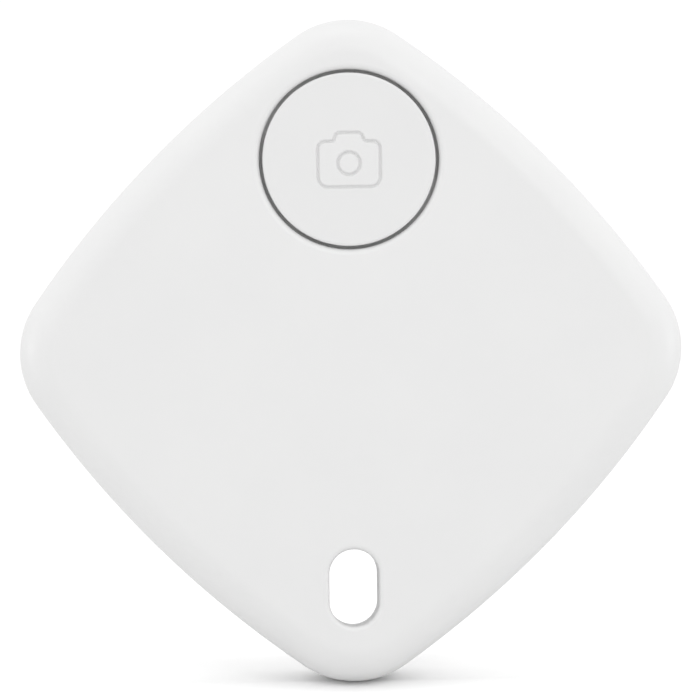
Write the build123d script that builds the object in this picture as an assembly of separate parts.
"""Bluetooth tracker tag with a remote shutter button: a rounded square that stands on its slotted corner.

Millimetres. X runs across the tag to the right as seen from the front, Y from the front face to the rear
face, and Z up. The origin is under the lower corner, halfway through the thickness. Every node is drawn as
a face in X and Z and given depth along Y, or is a turned shape about an axis along Y.
"""

from build123d import *
from math import asin, cos, degrees, radians, sin, sqrt
import os

# Outline, seen from the front: a square on its corner, with bowed sides
CORNER_REACH = 24.0  # from the middle of the tag to the tip of each rounded corner
CORNER_RADIUS = 6.4
SIDE_RADIUS = 75.0
THICKNESS = 9.0
EDGE_ROUNDING = 2.4

# Shells
PARTING_Y = 1.6  # where the front and rear shells meet
PARTING_CHAMFER = 0.12
SIDE_WALL = 1.5
FACE_WALL = 1.4
TONGUE_GAP = 0.05
TONGUE_INSET = 0.8  # the tongue's seat in the front shell, from the outline
TONGUE_DEPTH = 1.15
SNAP_HEIGHT = 0.2
BOSS_RADIUS = 1.6

# Key ring slot
SLOT_WIDTH = 3.6
SLOT_LENGTH = 5.6
SLOT_DROP = 17.2  # from the middle of the tag down to the middle of the slot
SLOT_LIP = 0.35
SLEEVE_WALL = 1.2

# Shutter button
BUTTON_RISE = 13.86  # from the middle of the tag up to the middle of the button
BUTTON_RADIUS = 6.3
BUTTON_GAP = 0.3
BUTTON_EDGE = 0.18
HOLE_LIP = 0.35
FLANGE_RADIUS = 7.1
FLANGE_THICKNESS = 0.5
FLANGE_CLEARANCE = 0.05
TAB_WIDTH = 1.6
TAB_REACH = 7.85
GUIDE_INNER = 7.3
GUIDE_OUTER = 8.4
GUIDE_HEIGHT = 0.75

# Camera pictogram sunk in the button
PICTOGRAM_DROP = 0.3  # from the button's middle down to the middle of the camera's body
CAMERA_WIDTH = 4.48
CAMERA_HEIGHT = 3.2
CAMERA_CORNER = 0.5
HUMP_HEIGHT = 0.65
HUMP_TOP = 1.75
HUMP_BASE = 2.32
LENS_RADIUS = 0.8
LINE_WIDTH = 0.22
LINE_DEPTH = 0.12

# Circuit board, from the front face of the tag
PCB_FRONT_Y = -1.5
PCB_THICKNESS = 0.8
PCB_INSET = 1.8
PCB_BITE = 5.6  # radius of the corner taken off round the slot's sleeve
SCREW_REACH = 17.8
SCREW_RADIUS = 0.7
SCREW_HEAD_RADIUS = 1.3
SCREW_HEAD_HEIGHT = 0.45

# Tact switch, 0.8 tall with 0.2 of travel
SWITCH_WIDTH = 3.4
SWITCH_HEIGHT = 2.8
SWITCH_WALL_TOP = 0.5  # all heights here are above the board's front face
SWITCH_COVER = 0.1
SWITCH_TOP = 0.8
SWITCH_TRAVEL = 0.2
PLUNGER_RADIUS = 0.75
DOME_RADIUS = 1.0

# Sounder
PIEZO_DROP = 3.0
PIEZO_RADIUS = 7.5
PIEZO_THICKNESS = 0.15
CERAMIC_RADIUS = 5.2
PIEZO_STANDOFF = 0.4
PIEZO_RIM = 1.0
GLUE_THICKNESS = 0.1
WIRE_RADIUS = 0.22

# Coin cell, 20 mm across and 3.2 mm thick, negative cap to the front
CELL_RADIUS = 10.0
CELL_THICKNESS = 3.2
CELL_FRONT_Y = -0.3
CELL_SHEET = 0.25
CAP_RADIUS = 8.8

# Battery door, a coin-slotted bayonet disc in the rear shell
DOOR_RADIUS = 11.55
DOOR_GAP = 0.15
DOOR_FLANGE = 0.8
DOOR_NECK = 10.75
DOOR_SKIRT_WALL = 0.6
LEDGE_INNER = 10.9
LEDGE_THICKNESS = 1.0
LUG_COUNT = 3
LUG_RADIUS = 11.5
LUG_THICKNESS = 0.6
LUG_HALF_ANGLE = 12.0
GATE_HALF_ANGLE = 14.0
STOP_ANGLE = 5.0
STOP_CLEARANCE = 1.5
UNLOCK_ANGLE = 35.0
FIRST_LUG = 30.0
SEAL_INNER = 10.8
SEAL_OUTER = 11.25
SEAL_THICKNESS = 0.38
POCKET_RADIUS = 10.25
POCKET_OUTER = 12.8
COIN_SLOT = (13.0, 1.8, 0.7)  # length, width and depth
MARK_RADIUS = 0.45
MARK_DEPTH = 0.15

# Planes and centres that follow
FRONT_Y = -THICKNESS / 2
REAR_Y = THICKNESS / 2
FRONT_INNER_Y = FRONT_Y + FACE_WALL
REAR_INNER_Y = REAR_Y - FACE_WALL
PCB_REAR_Y = PCB_FRONT_Y + PCB_THICKNESS
CELL_REAR_Y = CELL_FRONT_Y + CELL_THICKNESS
DOOR_SHOULDER_Y = REAR_Y - DOOR_FLANGE
LEDGE_FRONT_Y = DOOR_SHOULDER_Y - LEDGE_THICKNESS
LUG_REAR_Y = LEDGE_FRONT_Y - 0.1
LUG_FRONT_Y = LUG_REAR_Y - LUG_THICKNESS
CHANNEL_FRONT_Y = LUG_FRONT_Y - 0.1
OPENING_RADIUS = DOOR_RADIUS + DOOR_GAP
MIDDLE = (0.0, CORNER_REACH)
BUTTON_AT = (0.0, CORNER_REACH + BUTTON_RISE)
SLOT_AT = (0.0, CORNER_REACH - SLOT_DROP)
PIEZO_AT = (0.0, CORNER_REACH - PIEZO_DROP)
SCREWS_AT = [(side * SCREW_REACH, CORNER_REACH) for side in (-1, 1)]

# The outline's arcs: each side arc meets the corner arcs tangentially
CORNER_CENTRE = CORNER_REACH - CORNER_RADIUS
ARC_APART = SIDE_RADIUS - CORNER_RADIUS
SIDE_CENTRE = sqrt(ARC_APART**2 - CORNER_CENTRE**2 / 2) - CORNER_CENTRE / sqrt(2)
CORNER_HALF_ANGLE = asin(SIDE_CENTRE / sqrt(2) / ARC_APART)


def polar(radius, angle):
    """The point at a radius and an angle in degrees."""
    return (radius * cos(radians(angle)), radius * sin(radians(angle)))


def outline(inset=0.0):
    """The tag's outline about its own middle, or the parallel outline that lies inset within it."""
    corner = CORNER_RADIUS - inset
    tip = (CORNER_CENTRE + corner, 0)
    along = CORNER_CENTRE + corner * cos(CORNER_HALF_ANGLE)
    across = corner * sin(CORNER_HALF_ANGLE)
    crown = (SIDE_RADIUS - inset - SIDE_CENTRE) / sqrt(2)
    edges = []
    for quarter in range(4):
        turn = Rot(0, 0, 90 * quarter)
        edges.append(turn * ThreePointArc((along, -across), tip, (along, across)))
        edges.append(turn * ThreePointArc((along, across), (crown, crown), (across, along)))
    return make_face(edges)


def plate(face, y_front, y_rear, at=(0.0, 0.0)):
    """A face drawn in X and Z, moved to a point and given depth from y_front to y_rear."""
    return Pos(at[0], y_rear, at[1]) * extrude(Plane.XZ * face, amount=y_rear - y_front)


def disc(radius, y_front, y_rear, at):
    return plate(Circle(radius), y_front, y_rear, at)


def ring(outer, inner, y_front, y_rear, at):
    return plate(Circle(outer) - Circle(inner), y_front, y_rear, at)


def block(width, height, y_front, y_rear, at, turn=0.0):
    return plate(Rot(0, 0, turn) * Rectangle(width, height), y_front, y_rear, at)


def slot_face(growth=0.0):
    """The upright key ring slot, or one that is larger all round."""
    return SlotOverall(SLOT_LENGTH + 2 * growth, SLOT_WIDTH + 2 * growth, rotation=90)


def sector(inner, outer, middle, half_angle):
    """The part of a ring within an angle each side of a middle angle."""
    reach = 2 * outer
    corners = [(0, 0), polar(reach, middle - half_angle), polar(reach, middle + half_angle)]
    return (Circle(outer) - Circle(inner)) & make_face(Polyline(*corners, close=True))


def profile(points, z_low, z_high):
    """A closed outline in X and Y, given height from z_low to z_high."""
    return Pos(0, 0, z_low) * extrude(make_face(Polyline(*points, close=True)), amount=z_high - z_low)


def edges_at(solid, y, centre, reach):
    """The edges that lie wholly at one Y and wholly within a reach of a point."""
    found = []
    for edge in solid.edges():
        box = edge.bounding_box()
        level = abs(box.min.Y - y) < 1e-4 and abs(box.max.Y - y) < 1e-4
        near = max(abs(box.min.X - centre[0]), abs(box.max.X - centre[0])) < reach
        high = max(abs(box.min.Z - centre[1]), abs(box.max.Z - centre[1])) < reach
        if level and near and high:
            found.append(edge)
    return found


def lug_angles(shift=0.0):
    return [FIRST_LUG + 360 / LUG_COUNT * i + shift for i in range(LUG_COUNT)]


def front_shell():
    """Face, side wall, button guide, sounder seat, screw bosses and the slot's sleeve."""
    body = plate(outline(), FRONT_Y, PARTING_Y, MIDDLE)
    body = fillet(edges_at(body, FRONT_Y, MIDDLE, 2 * CORNER_REACH), EDGE_ROUNDING)
    body = chamfer(edges_at(body, PARTING_Y, MIDDLE, 2 * CORNER_REACH), PARTING_CHAMFER)
    cavity = plate(outline(SIDE_WALL), FRONT_INNER_Y, PARTING_Y, MIDDLE)
    cavity = fillet(edges_at(cavity, FRONT_INNER_Y, MIDDLE, 2 * CORNER_REACH), EDGE_ROUNDING - SIDE_WALL)
    body -= cavity
    body -= plate(outline(TONGUE_INSET), PARTING_Y - TONGUE_DEPTH - TONGUE_GAP, PARTING_Y, MIDDLE)
    snap_y = PARTING_Y - TONGUE_DEPTH / 2
    snap = outline(TONGUE_INSET - SNAP_HEIGHT)
    body -= plate(snap, snap_y - SNAP_HEIGHT, snap_y + SNAP_HEIGHT, MIDDLE)

    body += plate(slot_face(SLEEVE_WALL), FRONT_INNER_Y, PARTING_Y, SLOT_AT)
    guide = ring(GUIDE_OUTER, GUIDE_INNER, FRONT_INNER_Y, FRONT_INNER_Y + GUIDE_HEIGHT, BUTTON_AT)
    notch = TAB_WIDTH + 2 * BUTTON_GAP
    guide -= block(2 * GUIDE_OUTER, notch, FRONT_INNER_Y, FRONT_INNER_Y + GUIDE_HEIGHT, BUTTON_AT)
    body += guide
    seat_y = FRONT_INNER_Y + PIEZO_STANDOFF
    body += ring(PIEZO_RADIUS, PIEZO_RADIUS - PIEZO_RIM, FRONT_INNER_Y, seat_y, PIEZO_AT)
    for at in SCREWS_AT:
        body += disc(BOSS_RADIUS, FRONT_INNER_Y, PCB_FRONT_Y, at)
        body -= disc(SCREW_RADIUS + 0.02, FRONT_INNER_Y + 0.2, PCB_FRONT_Y, at)

    body -= plate(slot_face(), FRONT_Y, PARTING_Y, SLOT_AT)
    body -= disc(BUTTON_RADIUS + BUTTON_GAP, FRONT_Y, FRONT_INNER_Y, BUTTON_AT)
    body = fillet(edges_at(body, FRONT_Y, SLOT_AT, SLOT_LENGTH / 2 + 0.1), SLOT_LIP)
    return fillet(edges_at(body, FRONT_Y, BUTTON_AT, BUTTON_RADIUS + BUTTON_GAP + 0.1), HOLE_LIP)


def rear_shell():
    """Rear face with the door's opening, bayonet channel and cell pocket, and the tongue that snaps in."""
    body = plate(outline(), PARTING_Y, REAR_Y, MIDDLE)
    body = fillet(edges_at(body, REAR_Y, MIDDLE, 2 * CORNER_REACH), EDGE_ROUNDING)
    body = chamfer(edges_at(body, PARTING_Y, MIDDLE, 2 * CORNER_REACH), PARTING_CHAMFER)
    body -= plate(outline(SIDE_WALL), PARTING_Y, REAR_INNER_Y, MIDDLE)
    tongue = outline(TONGUE_INSET + TONGUE_GAP) - outline(SIDE_WALL)
    body += plate(tongue, PARTING_Y - TONGUE_DEPTH, PARTING_Y, MIDDLE)
    snap_y = PARTING_Y - TONGUE_DEPTH / 2
    snap = outline(TONGUE_INSET + TONGUE_GAP - SNAP_HEIGHT) - outline(SIDE_WALL)
    body += plate(snap, snap_y - SNAP_HEIGHT / 2, snap_y + SNAP_HEIGHT / 2, MIDDLE)

    body += plate(slot_face(SLEEVE_WALL), PARTING_Y, REAR_INNER_Y, SLOT_AT)
    pocket_y = PCB_REAR_Y + 0.3
    body += disc(POCKET_OUTER, pocket_y, REAR_INNER_Y, MIDDLE)
    for x, z in [(-3.4, 17.0), (3.4, 17.0), (-10.2, -9.8), (10.2, -9.8)]:
        body += disc(0.9, PCB_REAR_Y, REAR_INNER_Y, (x, CORNER_REACH + z))

    body -= disc(POCKET_RADIUS, pocket_y, CHANNEL_FRONT_Y, MIDDLE)
    channel = Circle(OPENING_RADIUS)
    for middle in lug_angles(LUG_HALF_ANGLE + STOP_CLEARANCE + STOP_ANGLE / 2):
        channel -= sector(LEDGE_INNER, OPENING_RADIUS, middle, STOP_ANGLE / 2)
    for middle in lug_angles(-UNLOCK_ANGLE - LUG_HALF_ANGLE - STOP_CLEARANCE - STOP_ANGLE / 2):
        channel -= sector(LEDGE_INNER, OPENING_RADIUS, middle, STOP_ANGLE / 2)
    body -= plate(channel, CHANNEL_FRONT_Y, LEDGE_FRONT_Y, MIDDLE)
    throat = Circle(LEDGE_INNER)
    for middle in lug_angles(-UNLOCK_ANGLE):
        throat += sector(LEDGE_INNER - 0.5, OPENING_RADIUS, middle, GATE_HALF_ANGLE)
    body -= plate(throat, LEDGE_FRONT_Y, DOOR_SHOULDER_Y, MIDDLE)
    body -= disc(SEAL_OUTER + 0.1, DOOR_SHOULDER_Y - SEAL_THICKNESS - 0.07, DOOR_SHOULDER_Y, MIDDLE)
    body -= disc(OPENING_RADIUS, DOOR_SHOULDER_Y, REAR_Y, MIDDLE)
    window = (-(POCKET_RADIUS + POCKET_OUTER) / 2, CORNER_REACH)
    body -= block(POCKET_OUTER - POCKET_RADIUS + 0.8, 5.0, pocket_y, CHANNEL_FRONT_Y - 0.05, window)

    body -= plate(slot_face(), PARTING_Y, REAR_Y, SLOT_AT)
    body = fillet(edges_at(body, REAR_Y, SLOT_AT, SLOT_LENGTH / 2 + 0.1), SLOT_LIP)
    mark_reach = OPENING_RADIUS + 1.3
    for angle in (90, 90 - UNLOCK_ANGLE):
        x, z = polar(mark_reach, angle)
        body -= disc(MARK_RADIUS, REAR_Y - MARK_DEPTH, REAR_Y, (x, CORNER_REACH + z))
    x, z = polar(mark_reach, 90 - UNLOCK_ANGLE)
    body += disc(MARK_RADIUS / 2, REAR_Y - MARK_DEPTH, REAR_Y, (x, CORNER_REACH + z))
    return body


def camera_outline():
    """The pictogram's camera: a rounded body with a hump on top, about the button's middle."""
    low = -PICTOGRAM_DROP - CAMERA_HEIGHT / 2
    high = low + CAMERA_HEIGHT
    right_side = [
        (CAMERA_WIDTH / 2, low),
        (CAMERA_WIDTH / 2, high),
        (HUMP_BASE / 2, high),
        (HUMP_TOP / 2, high + HUMP_HEIGHT),
    ]
    left_side = [(-x, z) for x, z in reversed(right_side)]
    face = make_face(Polyline(*right_side, *left_side, close=True))
    body_corners = [v for v in face.vertices() if abs(abs(v.X) - CAMERA_WIDTH / 2) < 1e-6]
    face = fillet(body_corners, CAMERA_CORNER)
    hump_corners = [v for v in face.vertices() if abs(v.X) < HUMP_BASE / 2 + 1e-6 and v.Y > high - 1e-6]
    return fillet(hump_corners, CAMERA_CORNER / 3)


def shutter_button():
    """A cap with a flange that keeps it in, two tabs that keep it upright, and a nub over the switch."""
    flange_y = FRONT_INNER_Y + FLANGE_CLEARANCE
    flange_rear = flange_y + FLANGE_THICKNESS
    cap = disc(BUTTON_RADIUS, FRONT_Y, flange_y, BUTTON_AT)
    cap = fillet(edges_at(cap, FRONT_Y, BUTTON_AT, BUTTON_RADIUS + 0.1), BUTTON_EDGE)
    cap += disc(FLANGE_RADIUS, flange_y, flange_rear, BUTTON_AT)
    cap += block(2 * TAB_REACH, TAB_WIDTH, flange_y, flange_rear, BUTTON_AT)
    cap += disc(1.0, flange_rear, PCB_FRONT_Y - SWITCH_TOP, BUTTON_AT)
    camera = camera_outline()
    lines = offset(camera, LINE_WIDTH / 2) - offset(camera, -LINE_WIDTH / 2)
    lens = Circle(LENS_RADIUS + LINE_WIDTH / 2) - Circle(LENS_RADIUS - LINE_WIDTH / 2)
    cap -= plate(lines, FRONT_Y, FRONT_Y + LINE_DEPTH, BUTTON_AT)
    return cap - plate(Pos(0, -PICTOGRAM_DROP) * lens, FRONT_Y, FRONT_Y + LINE_DEPTH, BUTTON_AT)


def tact_switch():
    """The switch's five pieces, from the board's front face outwards."""
    floor = PCB_FRONT_Y - 0.1
    wall_top = PCB_FRONT_Y - SWITCH_WALL_TOP
    cover_top = wall_top - SWITCH_COVER
    plunger_top = PCB_FRONT_Y - SWITCH_TOP
    dome_top = floor - 0.25
    base = block(SWITCH_WIDTH, SWITCH_HEIGHT, wall_top, PCB_FRONT_Y, BUTTON_AT)
    base -= disc(DOME_RADIUS + 0.15, wall_top, floor, BUTTON_AT)

    sphere_radius = (DOME_RADIUS**2 + SWITCH_TRAVEL**2) / (2 * SWITCH_TRAVEL)
    centre = Pos(0, dome_top + sphere_radius, BUTTON_AT[1])
    dome = centre * Sphere(sphere_radius) - centre * Sphere(sphere_radius - 0.05)
    dome &= disc(DOME_RADIUS, dome_top - 0.1, dome_top + SWITCH_TRAVEL, BUTTON_AT)

    plunger = disc(PLUNGER_RADIUS, plunger_top, dome_top, BUTTON_AT)
    plunger += disc(PLUNGER_RADIUS + 0.2, dome_top - 0.08, dome_top, BUTTON_AT)
    cover = block(SWITCH_WIDTH, SWITCH_HEIGHT, cover_top, wall_top, BUTTON_AT)
    cover -= disc(PLUNGER_RADIUS + 0.08, cover_top, wall_top, BUTTON_AT)
    for side in (-1, 1):
        skirt_at = (side * (SWITCH_WIDTH / 2 + 0.05), BUTTON_AT[1])
        cover += block(0.1, 1.2, cover_top, PCB_FRONT_Y - 0.1, skirt_at)

    terminals = Compound(
        children=[
            block(0.5, 0.6, PCB_FRONT_Y - 0.15, PCB_FRONT_Y, (x * 1.95, BUTTON_AT[1] + z * 1.0))
            for x in (-1, 1)
            for z in (-1, 1)
        ]
    )
    return {
        "tact_switch_base": base,
        "tact_switch_dome": dome,
        "tact_switch_plunger": plunger,
        "tact_switch_cover": cover,
        "tact_switch_terminals": terminals,
    }


def main_pcb():
    board = plate(outline(PCB_INSET), PCB_FRONT_Y, PCB_REAR_Y, MIDDLE)
    board -= disc(PCB_BITE, PCB_FRONT_Y, PCB_REAR_Y, SLOT_AT)
    for at in SCREWS_AT:
        board -= disc(SCREW_RADIUS + 0.1, PCB_FRONT_Y, PCB_REAR_Y, at)
    return board


def pcb_screws():
    """Two pan-head screws through the board into the front shell's bosses, each with a cross recess."""
    screws = []
    head_rear = PCB_REAR_Y + SCREW_HEAD_HEIGHT
    for at in SCREWS_AT:
        head = disc(SCREW_HEAD_RADIUS, PCB_REAR_Y, head_rear, at)
        head = fillet(edges_at(head, head_rear, at, SCREW_HEAD_RADIUS + 0.1), 0.2)
        for turn in (0, 90):
            head -= block(1.5, 0.35, head_rear - 0.25, head_rear, at, turn)
        screws.append(head + disc(SCREW_RADIUS, FRONT_INNER_Y + 0.4, PCB_REAR_Y, at))
    return Compound(children=screws)


def chip(width, height, tall, at, turn=0.0, edge=0.05):
    """A component on the board's front, with its top edges eased."""
    body = block(width, height, PCB_FRONT_Y - tall, PCB_FRONT_Y, at, turn)
    reach = max(width, height)
    return chamfer(edges_at(body, PCB_FRONT_Y - tall, at, reach), edge)


def board_components():
    """What is soldered to the board's front, apart from the switch."""
    soc = chip(5.0, 5.0, 0.85, (-13.2, 21.6))
    soc -= disc(0.3, PCB_FRONT_Y - 0.85, PCB_FRONT_Y - 0.75, (-15.0, 23.4))
    crystal_high = chip(2.0, 1.6, 0.35, (-12.4, 26.8))
    crystal_high += block(1.6, 1.2, PCB_FRONT_Y - 0.45, PCB_FRONT_Y - 0.35, (-12.4, 26.8))
    antenna_at = (14.0, 32.4)
    capacitors_at = [(-9.6, 23.4), (-9.6, 21.6), (-9.6, 19.8), (-13.2, 17.6), (-15.0, 17.6)]
    capacitors_at += [(9.4, 26.8), (12.4, 15.4)]
    resistors_at = [(-11.4, 15.8), (-9.6, 17.6), (10.2, 13.6), (9.4, 28.6), (4.6, 31.6)]
    inductors_at = [(11.6, 31.2), (12.6, 29.8)]
    led_at = (10.6, 33.6)
    coil = chip(3.0, 3.0, 1.1, (13.2, 19.4), edge=0.3)
    transistor = chip(2.9, 1.3, 0.95, (13.2, 25.6), edge=0.1)
    for x in (-0.95, 0.0, 0.95):
        side = 1 if x == 0 else -1
        transistor += block(0.4, 0.6, PCB_FRONT_Y - 0.15, PCB_FRONT_Y, (13.2 + x, 25.6 + side * 0.9))
    led_lens = block(1.0, 0.8, PCB_FRONT_Y - 0.55, PCB_FRONT_Y - 0.25, led_at)
    led_lens = fillet(edges_at(led_lens, PCB_FRONT_Y - 0.55, led_at, 1.0), 0.1)
    return {
        "bluetooth_soc": soc,
        "crystal_high": crystal_high,
        "crystal_low": chip(3.2, 1.5, 0.8, (-17.0, 28.4), turn=45),
        "chip_antenna": chip(4.0, 1.6, 0.5, antenna_at, turn=-45),
        "rf_inductors": Compound(children=[chip(1.0, 0.5, 0.5, at, turn=-45) for at in inductors_at]),
        "capacitors": Compound(children=[chip(1.0, 0.5, 0.5, at) for at in capacitors_at]),
        "resistors": Compound(children=[chip(1.0, 0.5, 0.35, at) for at in resistors_at]),
        "boost_coil": coil,
        "driver_transistor": transistor,
        "status_led_base": block(1.6, 0.8, PCB_FRONT_Y - 0.25, PCB_FRONT_Y, led_at),
        "status_led_lens": led_lens,
    }


def sounder():
    """The piezo disc glued to its seat in the front shell, with its two leads and their solder joints."""
    seat_y = FRONT_INNER_Y + PIEZO_STANDOFF
    plate_y = seat_y + GLUE_THICKNESS
    ceramic_y = plate_y + PIEZO_THICKNESS
    rear_y = ceramic_y + PIEZO_THICKNESS
    lead_y = rear_y + 0.25
    board_y = PCB_FRONT_Y - 0.25
    red = [(3.6, lead_y, 20.0), (7.4, lead_y, 18.2), (9.6, board_y, 18.0)]
    black = [(6.3, lead_y, 16.8), (7.8, lead_y, 16.0), (9.6, board_y, 16.2)]
    joints = [(3.2, rear_y, lead_y + 0.2, 20.2), (5.9, ceramic_y, lead_y + 0.2, 17.0)]
    joints += [(9.9, board_y - 0.2, PCB_FRONT_Y, 18.0), (9.9, board_y - 0.2, PCB_FRONT_Y, 16.2)]

    def lead(points):
        path = FilletPolyline(*points, radius=1.0)
        return sweep(Plane(origin=path @ 0, z_dir=path % 0) * Circle(WIRE_RADIUS), path=path)

    solder = [disc(0.5, low, high, (x, z)) for x, low, high, z in joints]
    return {
        "piezo_adhesive_ring": ring(PIEZO_RADIUS, PIEZO_RADIUS - PIEZO_RIM, seat_y, plate_y, PIEZO_AT),
        "piezo_plate": disc(PIEZO_RADIUS, plate_y, ceramic_y, PIEZO_AT),
        "piezo_ceramic": disc(CERAMIC_RADIUS, ceramic_y, rear_y, PIEZO_AT),
        "piezo_wire_red": lead(red),
        "piezo_wire_black": lead(black),
        "wire_solder_joints": Compound(children=solder),
    }


def coin_cell():
    """The cell's can, crimped over the gasket that holds the cap, and the pressed core between them."""
    lip_y = CELL_FRONT_Y + 0.3
    can = disc(CELL_RADIUS, lip_y, CELL_REAR_Y, MIDDLE)
    can = fillet(edges_at(can, CELL_REAR_Y, MIDDLE, CELL_RADIUS + 0.1), 0.3)
    can = fillet(edges_at(can, lip_y, MIDDLE, CELL_RADIUS + 0.1), 0.2)
    can -= disc(CELL_RADIUS - CELL_SHEET, lip_y + CELL_SHEET, CELL_REAR_Y - CELL_SHEET, MIDDLE)
    can -= disc(CAP_RADIUS + 0.3, lip_y, lip_y + CELL_SHEET, MIDDLE)
    gasket_y = lip_y + CELL_SHEET
    gasket = ring(CELL_RADIUS - CELL_SHEET, CAP_RADIUS, gasket_y, gasket_y + 0.3, MIDDLE)
    gasket += ring(CAP_RADIUS + 0.3, CAP_RADIUS, lip_y - 0.05, gasket_y, MIDDLE)
    brim_y = gasket_y + 0.3
    cap = disc(CAP_RADIUS, CELL_FRONT_Y, brim_y, MIDDLE)
    cap = fillet(edges_at(cap, CELL_FRONT_Y, MIDDLE, CAP_RADIUS + 0.1), 0.15)
    cap += disc(CELL_RADIUS - CELL_SHEET - 0.15, brim_y, brim_y + CELL_SHEET, MIDDLE)
    cap -= disc(CAP_RADIUS - CELL_SHEET, CELL_FRONT_Y + CELL_SHEET, brim_y + CELL_SHEET, MIDDLE)
    core_rear = CELL_REAR_Y - CELL_SHEET
    core = disc(CAP_RADIUS - CELL_SHEET, CELL_FRONT_Y + CELL_SHEET, brim_y + CELL_SHEET, MIDDLE)
    core += disc(CELL_RADIUS - CELL_SHEET, brim_y + CELL_SHEET, core_rear, MIDDLE)
    return {
        "coin_cell_can": can,
        "coin_cell_gasket": gasket,
        "coin_cell_cap": cap,
        "coin_cell_core": core,
    }


def battery_contacts():
    """A sprung leaf at the side of the can, and a three-fingered bridge under the cap."""
    sheet = 0.2
    touch = -(CELL_RADIUS + 0.02)
    foot = touch - 3.0
    top = CHANNEL_FRONT_Y - 0.15
    leaf = [
        (foot, PCB_REAR_Y),
        (touch, PCB_REAR_Y),
        (touch, top - 0.5),
        (touch - 0.4, top),
        (touch - 0.4 - sheet, top - 0.1),
        (touch - sheet, top - 0.6),
        (touch - sheet, PCB_REAR_Y + sheet),
        (foot, PCB_REAR_Y + sheet),
    ]
    positive = profile(leaf, CORNER_REACH - 2.0, CORNER_REACH + 2.0)
    sheet = 0.12
    apex = CELL_FRONT_Y - 0.02
    arch = [
        (-4.5, PCB_REAR_Y),
        (-3.0, PCB_REAR_Y),
        (-0.8, apex - sheet),
        (0.8, apex - sheet),
        (3.0, PCB_REAR_Y),
        (4.5, PCB_REAR_Y),
        (4.5, PCB_REAR_Y + sheet),
        (3.0, PCB_REAR_Y + sheet),
        (0.8, apex),
        (-0.8, apex),
        (-3.0, PCB_REAR_Y + sheet),
        (-4.5, PCB_REAR_Y + sheet),
    ]
    negative = None
    for shift in (-2.4, 0.0, 2.4):
        finger = profile(arch, CORNER_REACH + shift - 0.7, CORNER_REACH + shift + 0.7)
        negative = finger if negative is None else negative + finger
    for side in (-1, 1):
        negative += block(1.2, 6.2, PCB_REAR_Y, PCB_REAR_Y + sheet, (side * 3.9, CORNER_REACH))
    return {"battery_contact_positive": positive, "battery_contact_negative": negative}


def battery_door():
    """A disc with a neck, a skirt round the cell, bayonet lugs, a coin slot and an index mark."""
    door = disc(DOOR_RADIUS, DOOR_SHOULDER_Y, REAR_Y, MIDDLE)
    door = fillet(edges_at(door, REAR_Y, MIDDLE, DOOR_RADIUS + 0.1), 0.2)
    door += disc(DOOR_NECK, LUG_FRONT_Y, DOOR_SHOULDER_Y, MIDDLE)
    for middle in lug_angles():
        lug = sector(DOOR_NECK - DOOR_SKIRT_WALL, LUG_RADIUS, middle, LUG_HALF_ANGLE)
        door += plate(lug, LUG_FRONT_Y, LUG_REAR_Y, MIDDLE)
    door -= disc(DOOR_NECK - DOOR_SKIRT_WALL, LUG_FRONT_Y, REAR_INNER_Y, MIDDLE)
    length, width, depth = COIN_SLOT
    door -= plate(SlotOverall(length, width), REAR_Y - depth, REAR_Y, MIDDLE)
    door = fillet(edges_at(door, REAR_Y, MIDDLE, length / 2 + 0.1), 0.15)
    return door - disc(MARK_RADIUS, REAR_Y - MARK_DEPTH, REAR_Y, (0, CORNER_REACH + DOOR_RADIUS - 1.3))


def battery_door_seal():
    seal_y = DOOR_SHOULDER_Y - SEAL_THICKNESS
    return ring(SEAL_OUTER, SEAL_INNER, seal_y, DOOR_SHOULDER_Y, MIDDLE)


def build():
    """Every node by name."""
    return {
        "front_shell": front_shell(),
        "rear_shell": rear_shell(),
        "shutter_button": shutter_button(),
        **tact_switch(),
        "main_pcb": main_pcb(),
        "pcb_screws": pcb_screws(),
        **board_components(),
        **sounder(),
        **coin_cell(),
        **battery_contacts(),
        "battery_door": battery_door(),
        "battery_door_seal": battery_door_seal(),
    }


os.makedirs("parts", exist_ok=True)
for name, shape in build().items():
    export_step(shape, f"parts/{name}.step")
